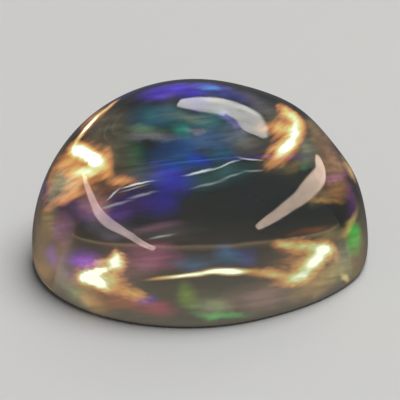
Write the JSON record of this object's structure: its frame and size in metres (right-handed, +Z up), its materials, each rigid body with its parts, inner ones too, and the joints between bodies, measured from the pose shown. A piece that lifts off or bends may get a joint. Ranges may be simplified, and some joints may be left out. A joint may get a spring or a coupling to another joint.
{
  "type": "mexican water opal cabochon",
  "caption": "Loose oval gemstone with a high polished dome, a rounded foot edge and a flat base, clear with soft flashes of blue, violet and green.",
  "frame": {"origin": "middle of the flat polished base, on the surface that the stone lies on", "axes": "+X along the stone's length towards its fuller end, +Y across its width, +Z up through the dome"},
  "size_m": [0.0096, 0.0077, 0.0052],
  "materials": {
    "opal": "high polish"
  },
  "bodies": {
    "root": {"opal": "opal"}
  },
  "joints": []
}
